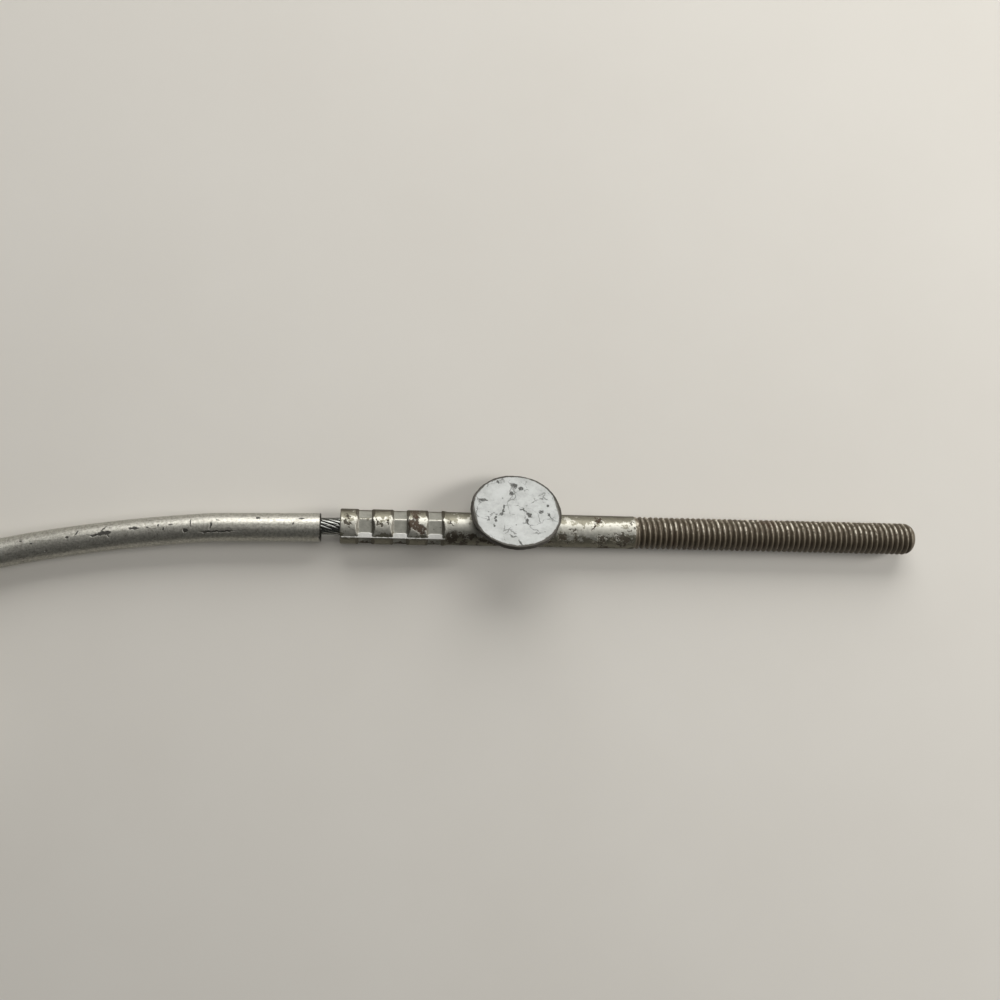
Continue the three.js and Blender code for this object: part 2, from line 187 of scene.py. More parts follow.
TIE_THICKNESS = 0.55
TIE_GAP = 0.02
TIE_EDGE = 0.12

# Facets
ROUND_SIDES = 96
DISC_SIDES = 180
FERRULE_SIDES = 72
SOLDER_SIDES = 48
CASING_SIDES = 32
CONDUIT_SIDES = 24
CORE_SIDES = 24
STRAND_SIDES = 20
WELD_SIDES = 14
WELD_POINTS = 41
TIE_POINTS = 96
NECK_STEPS = 8
GROOVE_STEPS = 9
EDGE_TURNS = [0, 22.5, 45, 67.5, 90]
PATH_SPACING = 1.1
STRAND_SPACING = 0.4
SOCKET_RINGS = 200
SHANK_RINGS = 34
RINGS_PER_PITCH = 12
ROD_ANGLE_STEP = 3.0
FIN_ANGLE_STEP = 0.625
PAD_ANGLE_STEP = 1.5
FIN_ANGLE_REACH = 5
PAD_ANGLE_REACH = 21
FACE_RING_SPACING = 0.25

# Origin of the cable's own coordinates, in the frame
tip = Vector(next(m for m in frame["record"]["mounts"] if m["name"] == "thread_tip")["pos_m"])
ORIGIN = Vector((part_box("rod_end")[0].x, tip.y, tip.z))
ROD_LENGTH = (tip.x - ORIGIN.x) / MM


def to_frame(points):
    """Points in the cable's own millimetres, as metres in the frame."""
    return np.asarray(points, float) * MM + np.array(ORIGIN)


# Camera: the photo looks down on the paper, a little tilted
CAMERA_TILT = 7
CAMERA_ROLL = 1.512
CAMERA_TARGET = (28.26, 5.33, 0)
CAMERA_DISTANCE = 200.55
CAMERA_FOCAL_SHARE = 1.117
SENSOR = 36


def new_object(name, data):
    item = bpy.data.objects.new(name, data)
    bpy.context.scene.collection.objects.link(item)
    return item


def make_camera():
    tilt = math.radians(CAMERA_TILT)
    roll = math.radians(CAMERA_ROLL)
    forward = Vector((math.sin(tilt), 0, -math.cos(tilt)))
    across = Vector((math.cos(tilt), 0, math.sin(tilt)))
    right = across * math.cos(roll) + Vector((0, 1, 0)) * math.sin(roll)
    up = right.cross(forward)
    target = Vector(to_frame(CAMERA_TARGET))
    data = bpy.data.cameras.new("camera")
    data.sensor_width = SENSOR
    data.lens = SENSOR * CAMERA_FOCAL_SHARE
    data.clip_start = 0.01
    data.clip_end = 20
    camera = new_object("camera", data)
    turn = Matrix((right, up, -forward)).transposed().to_4x4()
    camera.matrix_world = Matrix.Translation(target - forward * CAMERA_DISTANCE * MM) @ turn
    bpy.context.scene.camera = camera


make_camera()


# Meshes
def new_piece(name, points, faces, body, material, smooth=True, masks=None):
    """Mesh object from points in the cable's own millimetres, riding on a body.

    Each mask is a share from 0 to 1 at every point, which the material reads by name.
    """
    mesh = bpy.data.meshes.new(name)
    mesh.from_pydata(to_frame(points).tolist(), [], faces)
    for mask, values in (masks or {}).items():
        layer = mesh.attributes.new(mask, "FLOAT", "POINT")
        layer.data.foreach_set("value", np.asarray(values, np.float32).ravel())
    mesh.polygons.foreach_set("use_smooth", [smooth] * len(mesh.polygons))
    mesh.materials.append(material)
    mesh.update()
    piece = new_object(name, mesh)
    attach(piece, body)
    return piece


def grid_faces(rings, sides, start=0, closed=False):
    """Quads between successive rings of points. A closed grid joins its last ring to its first."""
    faces = []
    for i in range(rings if closed else rings - 1):
        a = start + i * sides
        b = start + ((i + 1) % rings) * sides
        for j in range(sides):
            k = (j + 1) % sides
            faces.append((a + j, a + k, b + k, b + j))
    return faces


def end_caps(rings, sides, start=0):
    """Flat faces over the first and the last ring of a grid."""
    last = start + (rings - 1) * sides
    return [tuple(reversed(range(start, start + sides))), tuple(range(last, last + sides))]


def turned_over(faces):
    return [face[::-1] for face in faces]


def even_turns(sides):
    return np.linspace(0, 2 * math.pi, sides, endpoint=False)


def waves(values, parts):
    """Sum of waves along some values. Each has a height, a rate and a start."""
    return sum(height * np.sin(rate * values + start) for height, rate, start in parts)


def smooth_step(value):
    value = np.clip(value, 0, 1)
    return value * value * (3 - 2 * value)


def soft_min(a, b, width):
    """Smaller of two heights, with the corner between them rounded."""
    share = np.clip(0.5 + 0.5 * (b - a) / width, 0, 1)
    return b * (1 - share) + a * share - width * share * (1 - share)


def round_grid(xs, radii, angles):
    """Points round X, for a table of radii by place and angle."""
    points = np.empty((len(xs), len(angles), 3))
    points[:, :, 0] = np.asarray(xs)[:, None]
    points[:, :, 1] = radii * np.cos(angles)[None, :]
    points[:, :, 2] = radii * np.sin(angles)[None, :]
    return points.reshape(-1, 3)


def lathe(name, profile, body, slot, material, place, axis="X", sides=ROUND_SIDES):
    """Round piece from a profile of (height along its axis, radius) that starts and ends on it."""
    heights = [h for h, _ in profile]
    radii = np.repeat([[r] for _, r in profile], sides, axis=1).astype(float)
    points = round_grid(heights, np.maximum(radii, 1e-3), even_turns(sides))
    if axis == "Y":
        points = points[:, [1, 0, 2]] * np.array([-1, 1, 1])
    faces = grid_faces(len(profile), sides) + end_caps(len(profile), sides)
    return new_piece(name, points + np.array(place), faces, body, material)


# Curves
def through(points, spacing):
    """Points along one smooth curve through the given ones: centripetal Catmull-Rom."""
    p = [np.array(q, float) for q in points]
    p = [2 * p[0] - p[1], *p, 2 * p[-1] - p[-2]]
    curve = []
    for i in range(1, len(p) - 2):
        gaps = [max(np.linalg.norm(p[i + k] - p[i + k - 1]) ** 0.5, 1e-4) for k in (0, 1, 2)]
        first = (p[i] - p[i - 1]) / gaps[0] - (p[i + 1] - p[i - 1]) / (gaps[0] + gaps[1])
        first = (first + (p[i + 1] - p[i]) / gaps[1]) * gaps[1]
        last = (p[i + 1] - p[i]) / gaps[1] - (p[i + 2] - p[i]) / (gaps[1] + gaps[2])
        last = (last + (p[i + 2] - p[i + 1]) / gaps[2]) * gaps[1]
        count = max(1, round(np.linalg.norm(p[i + 1] - p[i]) / spacing))
        for t in np.arange(count) / count:
            bend = -3 * p[i] + 3 * p[i + 1] - 2 * first - last
            turn = 2 * p[i] - 2 * p[i + 1] + first + last
            curve.append(p[i] + first * t + bend * t**2 + turn * t**3)
    curve.append(p[-2])
    return np.array(curve)


def frames_along(path):
    """Two unit sides at each point of a path, carried along it without twist."""
    tangents = np.gradient(path, axis=0)
    tangents /= np.linalg.norm(tangents, axis=1)[:, None]
    side = np.cross(tangents[0], (0, 1, 0))
    firsts, seconds = [], []
    for tangent in tangents:
        side = side - tangent * (side @ tangent)
        side = side / np.linalg.norm(side)
        firsts.append(side)
        seconds.append(np.cross(tangent, side))
    return np.array(firsts), np.array(seconds)


def tube_points(path, radius, sides):
    firsts, seconds = frames_along(path)
    turns = even_turns(sides)
    radius = np.broadcast_to(radius, (len(path),))
    ring = firsts[:, None] * np.cos(turns)[None, :, None] + seconds[:, None] * np.sin(turns)[None, :, None]
    return (path[:, None] + ring * radius[:, None, None]).reshape(-1, 3)


def hollow_tube(path, radius, bore, sides):
    """Closed tube with a bore, a small round on its outer end edges, and a mask of its cut ends."""
    ends = np.array(CUT_EDGE_STEPS)[:, None]
    lead = path[0] + (path[1] - path[0]) * ends / np.linalg.norm(path[1] - path[0])
    trail = path[-1] + (path[-2] - path[-1]) * ends[::-1] / np.linalg.norm(path[-2] - path[-1])
    outer_path = np.concatenate([lead, path[1:-1], trail])
    radii = np.full(len(outer_path), float(radius))
    radii[[0, -1]] -= CUT_EDGE_STEPS[1]
    outer = tube_points(outer_path, radii, sides)
    inner = tube_points(path, bore, sides).reshape(len(path), sides, 3)[::-1].reshape(-1, 3)
    rings = len(outer_path) + len(path)
    cut_end = np.ones(rings)
    cut_end[len(ends) - 1 : len(outer_path) - len(ends) + 1] = 0
    faces = turned_over(grid_faces(rings, sides, closed=True))
    return np.concatenate([outer, inner]), faces, {"cut_end": np.repeat(cut_end, sides)}


def lead_point(distance, offset):
    turn = math.radians(LEAD_ANGLE)
    along = -WIRE_SHOWING - distance * math.cos(turn)
    return (along, -MOUTH_OFFSET + offset - distance * math.sin(turn), 0)


def run_points():
    steps = range(RUN_STRAIGHT_POINTS + 1)
    return [lead_point(i / RUN_STRAIGHT_POINTS * RUN_STRAIGHT, 0) for i in steps] + RUN_BENDS


def coil_strand(turn):
    """Radius and height of the casing in its coil, after a number of turns from the top.

    It steps inward before the end of each turn of the upper layer, drops at the innermost place,
    and steps outward again at the start of each turn of the lower layer.
    """
    inward = 0
    for i in range(COIL_LAYER_TURNS):
        inward += float(smooth_step((turn - i - 1 + COIL_STEP_LEAD) / COIL_STEP + 1))
        inward -= float(smooth_step((turn - COIL_LAYER_TURNS - i - COIL_STEP_LEAD) / COIL_STEP))
    drop = float(smooth_step((turn - COIL_LAYER_TURNS) / COIL_DROP + 0.5))
    return COIL_RADIUS - COIL_SPACING * inward, COIL_LOWER_Z + COIL_LAYER_HEIGHT * (1 - drop)


def coil_points():
    points = []
    for i in range(2 * COIL_LAYER_TURNS * COIL_POINTS_PER_TURN + 1):
        turn = i / COIL_POINTS_PER_TURN
        radius, height = coil_strand(turn)
        angle = math.radians(90 + 360 * turn)
        x = COIL_CENTRE_X + radius * math.cos(angle)
        points.append((x, COIL_CENTRE_Y + radius * math.sin(angle), height))
    return points


def casing_path():
    join = [(x, COIL_TOP_Y, z) for x, z in COIL_JOIN]
    tail = [(x, COIL_TOP_Y, COIL_LOWER_Z) for x in TAIL_X]
    return through(run_points() + join + coil_points() + tail, PATH_SPACING)


# Material helpers
def new_material(name):
    material = bpy.data.materials.new(name)
    material.use_nodes = True
    tree = material.node_tree
    return material, tree, tree.nodes["Principled BSDF"]


def add(tree, kind, inputs, output=0, **settings):
    """New node with its inputs set or linked. Gives the output that is asked for."""
    node = tree.nodes.new("ShaderNode" + kind)
    for key, value in settings.items():
        setattr(node, key, value)
    for key, value in inputs.items():
        if isinstance(value, bpy.types.NodeSocket):
            tree.links.new(value, node.inputs[key])
        else:
            node.inputs[key].default_value = value
    return node.outputs[output]


def calc(tree, operation, a, b=0.0):
    return add(tree, "Math", {0: a, 1: b}, operation=operation)


def object_coords(tree):
    return add(tree, "TexCoord", {}, "Object")


def stretched(tree, coords, scale):
    return add(tree, "Mapping", {"Vector": coords, "Scale": scale})


def noise(tree, coords, scale, detail, roughness):
    settings = {"Vector": coords, "Scale": scale, "Detail": detail, "Roughness": roughness}
    return add(tree, "TexNoise", settings)


def level(tree, value, low, high):
    """Value spread so that low becomes 0 and high becomes 1, kept within them."""
    return add(tree, "MapRange", {0: value, 1: low, 2: high}, interpolation_type="SMOOTHSTEP")


def mix(tree, share, a, b):
    node = tree.nodes.new("ShaderNodeMix")
    node.data_type = "RGBA"
    for socket, value in ((node.inputs[0], share), (node.inputs[6], a), (node.inputs[7], b)):
        if isinstance(value, bpy.types.NodeSocket):
            tree.links.new(value, socket)
        else:
            socket.default_value = value
    return node.outputs[2]


def colour(red, green, blue):
    """Colour as a picture shows it, from 0 to 255, in Blender's linear form."""
    linear = [((c / 255 + 0.055) / 1.055) ** 2.4 if c > 10 else c / 255 / 12.92 for c in (red, green, blue)]
    return (*linear, 1)


def either(tree, *values):
    """Largest of several shares."""
    result = values[0]
    for value in values[1:]:
        result = calc(tree, "MAXIMUM", result, value)
    return result


def both(tree, a, b):
    """Product of two shares or values."""
    return calc(tree, "MULTIPLY", a, b)


def inverse(tree, value):
    return calc(tree, "SUBTRACT", 1.0, value)


def ragged(tree, coords, scale, reach):
    """Coordinates shaken by noise, so that a mark's outline is torn."""
    shake = add(tree, "TexNoise", {"Vector": coords, "Scale": scale, "Detail": 4.0}, 1)
    shake = add(tree, "VectorMath", {0: shake, 1: (0.5, 0.5, 0.5)}, operation="SUBTRACT")
    size = (reach * MM,) * 3
    return add(tree, "VectorMath", {0: shake, 1: size, 2: coords}, operation="MULTIPLY_ADD")


def marks(tree, coords, places):
    """Share of a surface, seen from above, inside any of some ellipses.

    Each is x, y, half length and half width in millimetres, and its turn in degrees.
    """
    nearest = None
    for x, y, half_length, half_width, turn in places:
        centre = (ORIGIN.x + x * MM, ORIGIN.y + y * MM, 0)
        size = (half_length * MM, half_width * MM, 1000)
        rotation = (0, 0, math.radians(turn))
        settings = {"Vector": coords, "Location": centre, "Rotation": rotation, "Scale": size}
        local = add(tree, "Mapping", settings, vector_type="TEXTURE")
        distance = add(tree, "VectorMath", {0: local}, "Value", operation="LENGTH")
        nearest = distance if nearest is None else calc(tree, "MINIMUM", nearest, distance)
    return inverse(tree, level(tree, nearest, 0.8, 1.2))


def attribute(tree, name):
    return add(tree, "Attribute", {}, "Fac", attribute_name=name)


def set_shader(tree, shader, **values):
    for key, value in values.items():
        socket = shader.inputs[key.replace("_", " ")]
        if isinstance(value, bpy.types.NodeSocket):
            tree.links.new(value, socket)
        else:
            socket.default_value = value


def bumped(tree, height, strength, distance):
    """Normal of a bumpy surface. The distance is in millimetres."""
    return add(tree, "Bump", {"Height": height, "Strength": strength, "Distance": distance * MM})


# Materials
def rod_coordinates(tree):
    """Object coordinates, then the place along the rod, to its side and out from its axis."""
    coords = object_coords(tree)
    parts = tree.nodes.new("ShaderNodeSeparateXYZ")
    tree.links.new(coords, parts.inputs[0])
    along, side, height = (calc(tree, "SUBTRACT", parts.outputs[i], ORIGIN[i]) for i in range(3))
    square = calc(tree, "ADD", both(tree, side, side), both(tree, height, height))
    return coords, along, side, calc(tree, "SQRT", square)


# Rust and stains that the photo shows on the rod, and painted shade in its lower crimps: x, y, half length,
# half width and turn
DARK_SPOTS = [
    (1.3, 1.7, 0.32, 0.25, 20),
    (1.1, 0.75, 0.4, 0.3, -30),
    (1.7, 0.6, 0.25, 0.22, 0),
    (1.5, -0.05, 0.3, 0.25, 0),
    (6.4, 0.9, 0.24, 0.6, 15),
    (7.0, 0.4, 0.6, 0.26, -15),
    (8.2, 0.8, 0.38, 0.24, 50),
    (19.5, 0.9, 0.5, 0.14, -50),
    (52.0, 1.7, 0.35, 0.14, 40),
    (52.4, 0.9, 0.14, 0.32, 0),
    (51.5, 0.4, 0.34, 0.13, -30),
]
RUST_PATCHES = [
    (12.7, 0.6, 1.2, 0.85, -35),
    (14.1, -0.2, 0.9, 0.65, -20),
    (13.2, 1.6, 0.4, 0.7, 10),
    (13.0, 2.7, 0.8, 0.4, 0),
    (45.9, 2.1, 0.7, 0.5, 0),
    (45.0, 1.1, 0.85, 0.2, 55),
]
DARK_PATCHES = [
    (19.7, -1.2, 1.1, 0.9, 0),
    (22.8, -1.2, 1.2, 0.5, 0),
    # Painted shade in the three lower crimps
    (4.4, -2.85, 1.1, 0.34, 0),
    (10.5, -2.85, 1.2, 0.34, 0),
    (16.4, -2.8, 1.1, 0.34, 0),
    (39.4, -1.0, 0.9, 0.6, 0),
    (41.4, 0.4, 0.9, 0.3, -10),
    (46.9, -1.1, 0.5, 0.3, 0),
    (50.3, -0.8, 1.3, 0.55, -15),
    (51.2, -1.6, 0.8, 0.5, 30),
]


def rod_material():
    """Bright turned steel, pitted with rust, with dull pressed flats and flash, painted shade on its edges,
    crimp walls and lower crimps, and a painted highlight on the flash.
    """
    material, tree, shader = new_material("rod_steel")
    coords, along, side, _ = rod_coordinates(tree)
    torn = ragged(tree, coords, 1500, 1.9)
    cloud = noise(tree, coords, 300, 6, 0.65)
    fine = noise(tree, coords, 1900, 5, 0.6)
    pitted = noise(tree, coords, 900, 6, 0.7)
    lower = both(tree, side, -1 / (SHANK_RADIUS * MM))
    flat, wall, flash_highlight = (attribute(tree, name) for name in ("flat", "wall", "flash_highlight"))

    clean = mix(tree, fine, colour(146, 145, 135), colour(206, 204, 194))
    shade_olive = mix(tree, pitted, colour(92, 89, 76), colour(142, 139, 125))
    dark = mix(tree, fine, colour(44, 37, 27), colour(84, 76, 62))
    rust = mix(tree, pitted, colour(30, 20, 11), colour(82, 60, 40))
    nibble = both(tree, calc(tree, "SUBTRACT", pitted, 0.5), 2.0)
    swing = both(tree, calc(tree, "SUBTRACT", cloud, 0.5), 1.9)
    loose = calc(tree, "ADD", nibble, swing)
    # Olive tone towards the rod's top and bottom edges: painted shade.
    upper_shade = level(tree, calc(tree, "SUBTRACT", loose, lower), 0.5, 0.62)
    lower_shade = level(tree, calc(tree, "ADD", loose, lower), 0.26, 0.42)
    tone = mix(tree, either(tree, upper_shade, lower_shade), clean, shade_olive)
    tone = mix(tree, flat, tone, mix(tree, pitted, colour(104, 103, 95), colour(168, 167, 157)))
    past_socket = level(tree, along, SOCKET_LENGTH * MM, (SOCKET_LENGTH + 0.6) * MM)
    blotch = noise(tree, stretched(tree, torn, (0.75, 1, 1)), 520, 6, 0.68)
    network = level(tree, calc(tree, "ADD", blotch, both(tree, lower, 0.07)), 0.57, 0.61)
    network = both(tree, both(tree, network, level(tree, lower, -0.15, 0.2)), past_socket)
    # Dark line along the rod's top edge: painted shade.
    edge = level(tree, calc(tree, "SUBTRACT", both(tree, cloud, 0.2), lower), 0.98, 1.08)
    eaten = level(tree, pitted, 0.4, 0.47)
    # Dark patches, three of which are painted shade in the lower crimps.
    patches = both(tree, marks(tree, torn, DARK_PATCHES), eaten)
    stain_and_shade = either(tree, network, marks(tree, torn, DARK_SPOTS), patches)
    tone = mix(tree, both(tree, stain_and_shade, 0.92), tone, dark)
    tone = mix(tree, both(tree, edge, 0.75), tone, dark)
    freckle = level(tree, noise(tree, coords, 1500, 4, 0.7), 0.62, 0.68)
    tone = mix(tree, both(tree, freckle, 0.6), tone, dark)
    rusty = both(tree, marks(tree, torn, RUST_PATCHES), eaten)
    rusty = either(tree, rusty, both(tree, level(tree, cloud, 0.68, 0.74), 0.5))
    tone = mix(tree, both(tree, rusty, 0.94), tone, rust)
    # Darker crimp walls: painted shade in the recesses.
    tone = mix(tree, both(tree, wall, 0.6), tone, dark)
    # Pale fins and pads of flash: painted highlight.
    tone = mix(tree, flash_highlight, tone, mix(tree, fine, colour(196, 195, 189), colour(226, 226, 221)))
    marks_and_shade = either(tree, stain_and_shade, rusty)
    rough = calc(tree, "ADD", both(tree, fine, 0.24), 0.38)
    rough = calc(tree, "ADD", rough, both(tree, either(tree, marks_and_shade, flat), 0.3))
    metallic = calc(tree, "SUBTRACT", 0.92, both(tree, either(tree, marks_and_shade, flat, flash_highlight), 0.6))
    metallic = calc(tree, "SUBTRACT", metallic, both(tree, flash_highlight, 0.3))
    pits = calc(tree, "SUBTRACT", both(tree, pitted, 0.6), marks_and_shade)
    set_shader(tree, shader, Base_Color=tone, Metallic=metallic, Roughness=rough)
    set_shader(tree, shader, Normal=bumped(tree, pits, 0.7, 0.11))
    return material


def thread_material():
    """Dull brown-grey steel, a little paler on the crests, with painted highlight glints on the crests of
    the upper side.
    """
    material, tree, shader = new_material("thread_steel")
    coords, _, side, radius = rod_coordinates(tree)
    cloud = noise(tree, coords, 300, 5, 0.6)
    fine = noise(tree, coords, 2200, 5, 0.6)
    crest = level(tree, radius, (SHANK_RADIUS - 0.25) * MM, (SHANK_RADIUS - 0.02) * MM)
    broken = level(tree, noise(tree, coords, 1100, 4, 0.65), 0.44, 0.58)
    # Glints on the upper side's crests: painted highlight.
    painted_glint = both(tree, level(tree, cloud, 0.3, 0.6), broken)
    upward = level(tree, calc(tree, "ADD", both(tree, side, 400), fine), 0.4, 1.1)
    root = mix(tree, fine, colour(62, 54, 44), colour(116, 106, 89))
    tone = mix(tree, both(tree, crest, 0.3), root, colour(120, 111, 94))
    tone = mix(tree, both(tree, crest, both(tree, painted_glint, upward)), tone, colour(206, 200, 184))
    rust = level(tree, noise(tree, coords, 130, 4, 0.6), 0.58, 0.7)
    tone = mix(tree, both(tree, rust, 0.4), tone, colour(80, 56, 42))
    rough = calc(tree, "ADD", both(tree, fine, 0.3), 0.36)
    set_shader(tree, shader, Base_Color=tone, Metallic=0.4, Roughness=rough)
    set_shader(tree, shader, Normal=bumped(tree, fine, 0.5, 0.06))
    return material


# Scratches and pits on the disc's face, as seen from above
DISC_MARKS = [
    (27.8, 8.5, 0.2, 0.4, 0),
    (30.7, 8.0, 0.6, 0.38, -10),
    (31.8, 7.4, 0.35, 0.42, 20),
    (30.1, 6.5, 0.36, 0.36, 0),
    (24.9, 5.3, 0.9, 0.18, -4),
    (28.4, 3.8, 0.15, 0.85, -12),
    (27.9, 2.9, 0.5, 0.14, 20),
    (32.0, 3.6, 0.8, 0.15, -25),
    (32.9, 2.8, 0.55, 0.28, -30),
    (32.5, 1.7, 0.22, 0.62, 10),
    (35.1, 3.4, 0.42, 0.3, 20),
    (36.4, 4.6, 0.25, 0.3, 0),
    (36.6, 2.6, 0.14, 0.9, 18),
    (26.9, 2.2, 0.16, 0.55, -12),
    (25.6, 2.1, 0.12, 0.4, 5),
    (26.6, 0.9, 0.15, 0.28, 0),
    (29.9, -0.9, 0.7, 0.12, -20),
    (31.1, -2.0, 0.16, 0.65, 25),
]


def disc_material():
    """Pale plating with fine dark scratches and pits on the face, a dark rim, and painted shade on the
    sides below the face.
    """
    material, tree, shader = new_material("disc_steel")
    coords = object_coords(tree)
    bent = ragged(tree, coords, 300, 4.5)
    cells = add(tree, "TexVoronoi", {"Vector": bent, "Scale": 330}, "Distance", feature="DISTANCE_TO_EDGE")
    broken = level(tree, noise(tree, coords, 420, 5, 0.6), 0.5, 0.6)
    crack = both(tree, inverse(tree, level(tree, cells, 0.0, 0.05)), broken)
    pit = level(tree, noise(tree, coords, 1000, 4, 0.6), 0.67, 0.74)
    placed = marks(tree, ragged(tree, coords, 1400, 1.1), DISC_MARKS)
    placed = both(tree, placed, level(tree, noise(tree, coords, 2000, 4, 0.7), 0.34, 0.46))
    mark = either(tree, both(tree, crack, 0.75), pit, placed)
    cloud = noise(tree, coords, 380, 6, 0.62)
    mottle = noise(tree, coords, 1200, 5, 0.7)
    face = mix(tree, level(tree, cloud, 0.3, 0.7), colour(144, 146, 143), colour(170, 172, 170))
    face = mix(tree, both(tree, level(tree, mottle, 0.5, 0.75), 0.4), face, colour(116, 117, 113))
    tone = mix(tree, both(tree, mark, 0.92), face, colour(44, 44, 40))

    lean = math.radians(DISC_LEAN)
    axis = (0, math.sin(lean), math.cos(lean))
    centre = to_frame((DISC_X, 0, 0))
    arm = add(tree, "VectorMath", {0: coords, 1: tuple(centre)}, operation="SUBTRACT")
    height = add(tree, "VectorMath", {0: arm, 1: axis}, "Value", operation="DOT_PRODUCT")
    cross = add(tree, "VectorMath", {0: arm, 1: axis}, operation="CROSS_PRODUCT")
    reach = add(tree, "VectorMath", {0: cross}, "Value", operation="LENGTH")
    worn = both(tree, noise(tree, coords, 800, 5, 0.65), 0.7 * MM)
    rim = level(tree, calc(tree, "ADD", reach, worn), (DISC_RADIUS - 0.3) * MM, (DISC_RADIUS - 0.16) * MM)
    below = inverse(tree, level(tree, height, (DISC_FACE - 0.5) * MM, (DISC_FACE - 0.2) * MM))
    bevel = inverse(tree, level(tree, height, (DISC_FACE - 0.07) * MM, (DISC_FACE - 0.015) * MM))
    scuffed = mix(tree, mottle, colour(36, 34, 29), colour(122, 119, 110))
    tone = mix(tree, both(tree, bevel, 0.9), tone, scuffed)
    # Dark rim, and painted shade on the disc's sides below its face.
    dark_rim_and_shade = mix(tree, cloud, colour(38, 35, 30), colour(72, 68, 60))
    tone = mix(tree, either(tree, rim, below), tone, dark_rim_and_shade)
    rough = calc(tree, "ADD", both(tree, cloud, 0.3), 0.36)
    set_shader(tree, shader, Base_Color=tone, Metallic=0.3, Roughness=rough)
    relief = calc(tree, "SUBTRACT", both(tree, cloud, 0.6), mark)
    set_shader(tree, shader, Normal=bumped(tree, relief, 0.4, 0.06))
    return material


def wire_material():
    """Bare strand wire, dark with grease but shiny."""
    material, tree, shader = new_material("wire_steel")
    grain = noise(tree, object_coords(tree), 2600, 4, 0.6)
    tone = mix(tree, grain, colour(84, 85, 82), colour(140, 141, 136))
    set_shader(tree, shader, Base_Color=tone, Metallic=1.0)
    set_shader(tree, shader, Roughness=calc(tree, "ADD", both(tree, grain, 0.12), 0.08))
    return material


def core_material():
    """Inside of the wire, dark with grease, and near black as painted shade between the strands."""
    material, tree, shader = new_material("wire_core")
    grain = noise(tree, object_coords(tree), 1800, 4, 0.6)
    tone = mix(tree, grain, colour(14, 12, 10), colour(34, 30, 25))
    set_shader(tree, shader, Base_Color=tone, Metallic=0.2, Roughness=0.5)
    return material


# Chips, cracks and scratches in the casing's paint, as seen from above
PAINT_CHIPS = [
    (-40.6, -2.35, 1.5, 0.22, 12),
    (-39.8, -2.05, 1.1, 0.32, 6),
    (-39.9, -1.3, 0.7, 0.09, 48),
    (-39.1, -2.5, 0.4, 0.13, -50),
    (-34.9, -1.15, 0.95, 0.22, 2),
    (-32.7, -1.0, 0.22, 0.14, 0),
    (-30.9, -0.5, 0.2, 0.18, 0),
    (-30.0, -1.1, 0.14, 0.28, 0),
    (-28.8, -0.4, 0.42, 0.14, 0),
    (-26.2, -1.3, 0.42, 0.3, 0),
    (-25.4, -0.1, 0.1, 0.65, 0),
    (-22.0, -0.3, 0.12, 0.7, -8),
    (-20.9, -1.35, 3.1, 0.15, 3),
    (-22.7, -1.5, 1.1, 0.22, 3),
    (-20.9, 0.65, 0.36, 0.1, -15),
    (-14.1, 1.1, 0.32, 0.2, -10),
    (-6.7, 1.2, 0.55, 0.13, 0),
    (-8.1, 0.2, 0.15, 0.2, 0),
    (-44.4, -2.2, 0.12, 0.5, -30),
    (-45.9, -3.0, 0.22, 0.16, 0),
    (-3.55, -2.2, 0.12, 0.4, 0),
    (-53.4, -3.8, 0.16, 0.16, 0),
    (-51.7, -4.15, 0.2, 0.14, 20),
    (-49.3, -5.4, 0.22, 0.16, 0),
    (-44.0, -4.4, 0.25, 0.14, 10),
]


def jacket_material():
    """Silver paint with a faint grain, chipped to the dark jacket in places."""
    material, tree, shader = new_material("silver_jacket")
    coords = object_coords(tree)
    cloud = noise(tree, coords, 160, 4, 0.5)
    flake = noise(tree, coords, 2400, 4, 0.75)
    grain = noise(tree, coords, 5200, 2, 0.6)
    torn = ragged(tree, coords, 1700, 0.7)
    loose = level(tree, noise(tree, coords, 680, 6, 0.66), 0.69, 0.73)
    chip = either(tree, loose, marks(tree, torn, PAINT_CHIPS))
    speck = level(tree, noise(tree, coords, 2600, 4, 0.7), 0.62, 0.67)
    paint = mix(tree, cloud, colour(128, 126, 117), colour(152, 150, 141))
    paint = mix(tree, level(tree, flake, 0.3, 0.7), paint, colour(192, 190, 181))
    paint = mix(tree, both(tree, speck, 0.6), paint, colour(80, 78, 72))
    tone = mix(tree, both(tree, chip, 0.93), paint, colour(36, 34, 30))
    tone = mix(tree, attribute(tree, "cut_end"), tone, colour(40, 38, 34))
    rough = calc(tree, "ADD", both(tree, grain, 0.25), 0.28)
    height = calc(tree, "SUBTRACT", both(tree, flake, 0.6), chip)
    metallic = calc(tree, "SUBTRACT", 0.92, both(tree, chip, 0.6))
    set_shader(tree, shader, Base_Color=tone, Metallic=metallic, Roughness=rough)
    set_shader(tree, shader, Normal=bumped(tree, height, 0.8, 0.07))
    return material


def plain_material(name, dark, pale, metallic, roughness):
    """Metal or plastic of one even tone."""
    material, tree, shader = new_material(name)
    coords = object_coords(tree)
    cloud = noise(tree, coords, 500, 5, 0.6)
    fine = noise(tree, coords, 2600, 3, 0.6)
    set_shader(tree, shader, Base_Color=mix(tree, cloud, dark, pale), Metallic=metallic)
    set_shader(tree, shader, Roughness=calc(tree, "ADD", both(tree, fine, 0.2), roughness))
    set_shader(tree, shader, Normal=bumped(tree, fine, 0.2, 0.04))
    return material


def paper_material():
    material, tree, shader = new_material("paper")
    coords = object_coords(tree)
    cloud = noise(tree, coords, 14, 4, 0.6)
    tone = mix(tree, cloud, colour(204, 200, 192), colour(214, 211, 204))
    set_shader(tree, shader, Base_Color=tone, Roughness=0.9, Specular_IOR_Level=0.2)
    return material


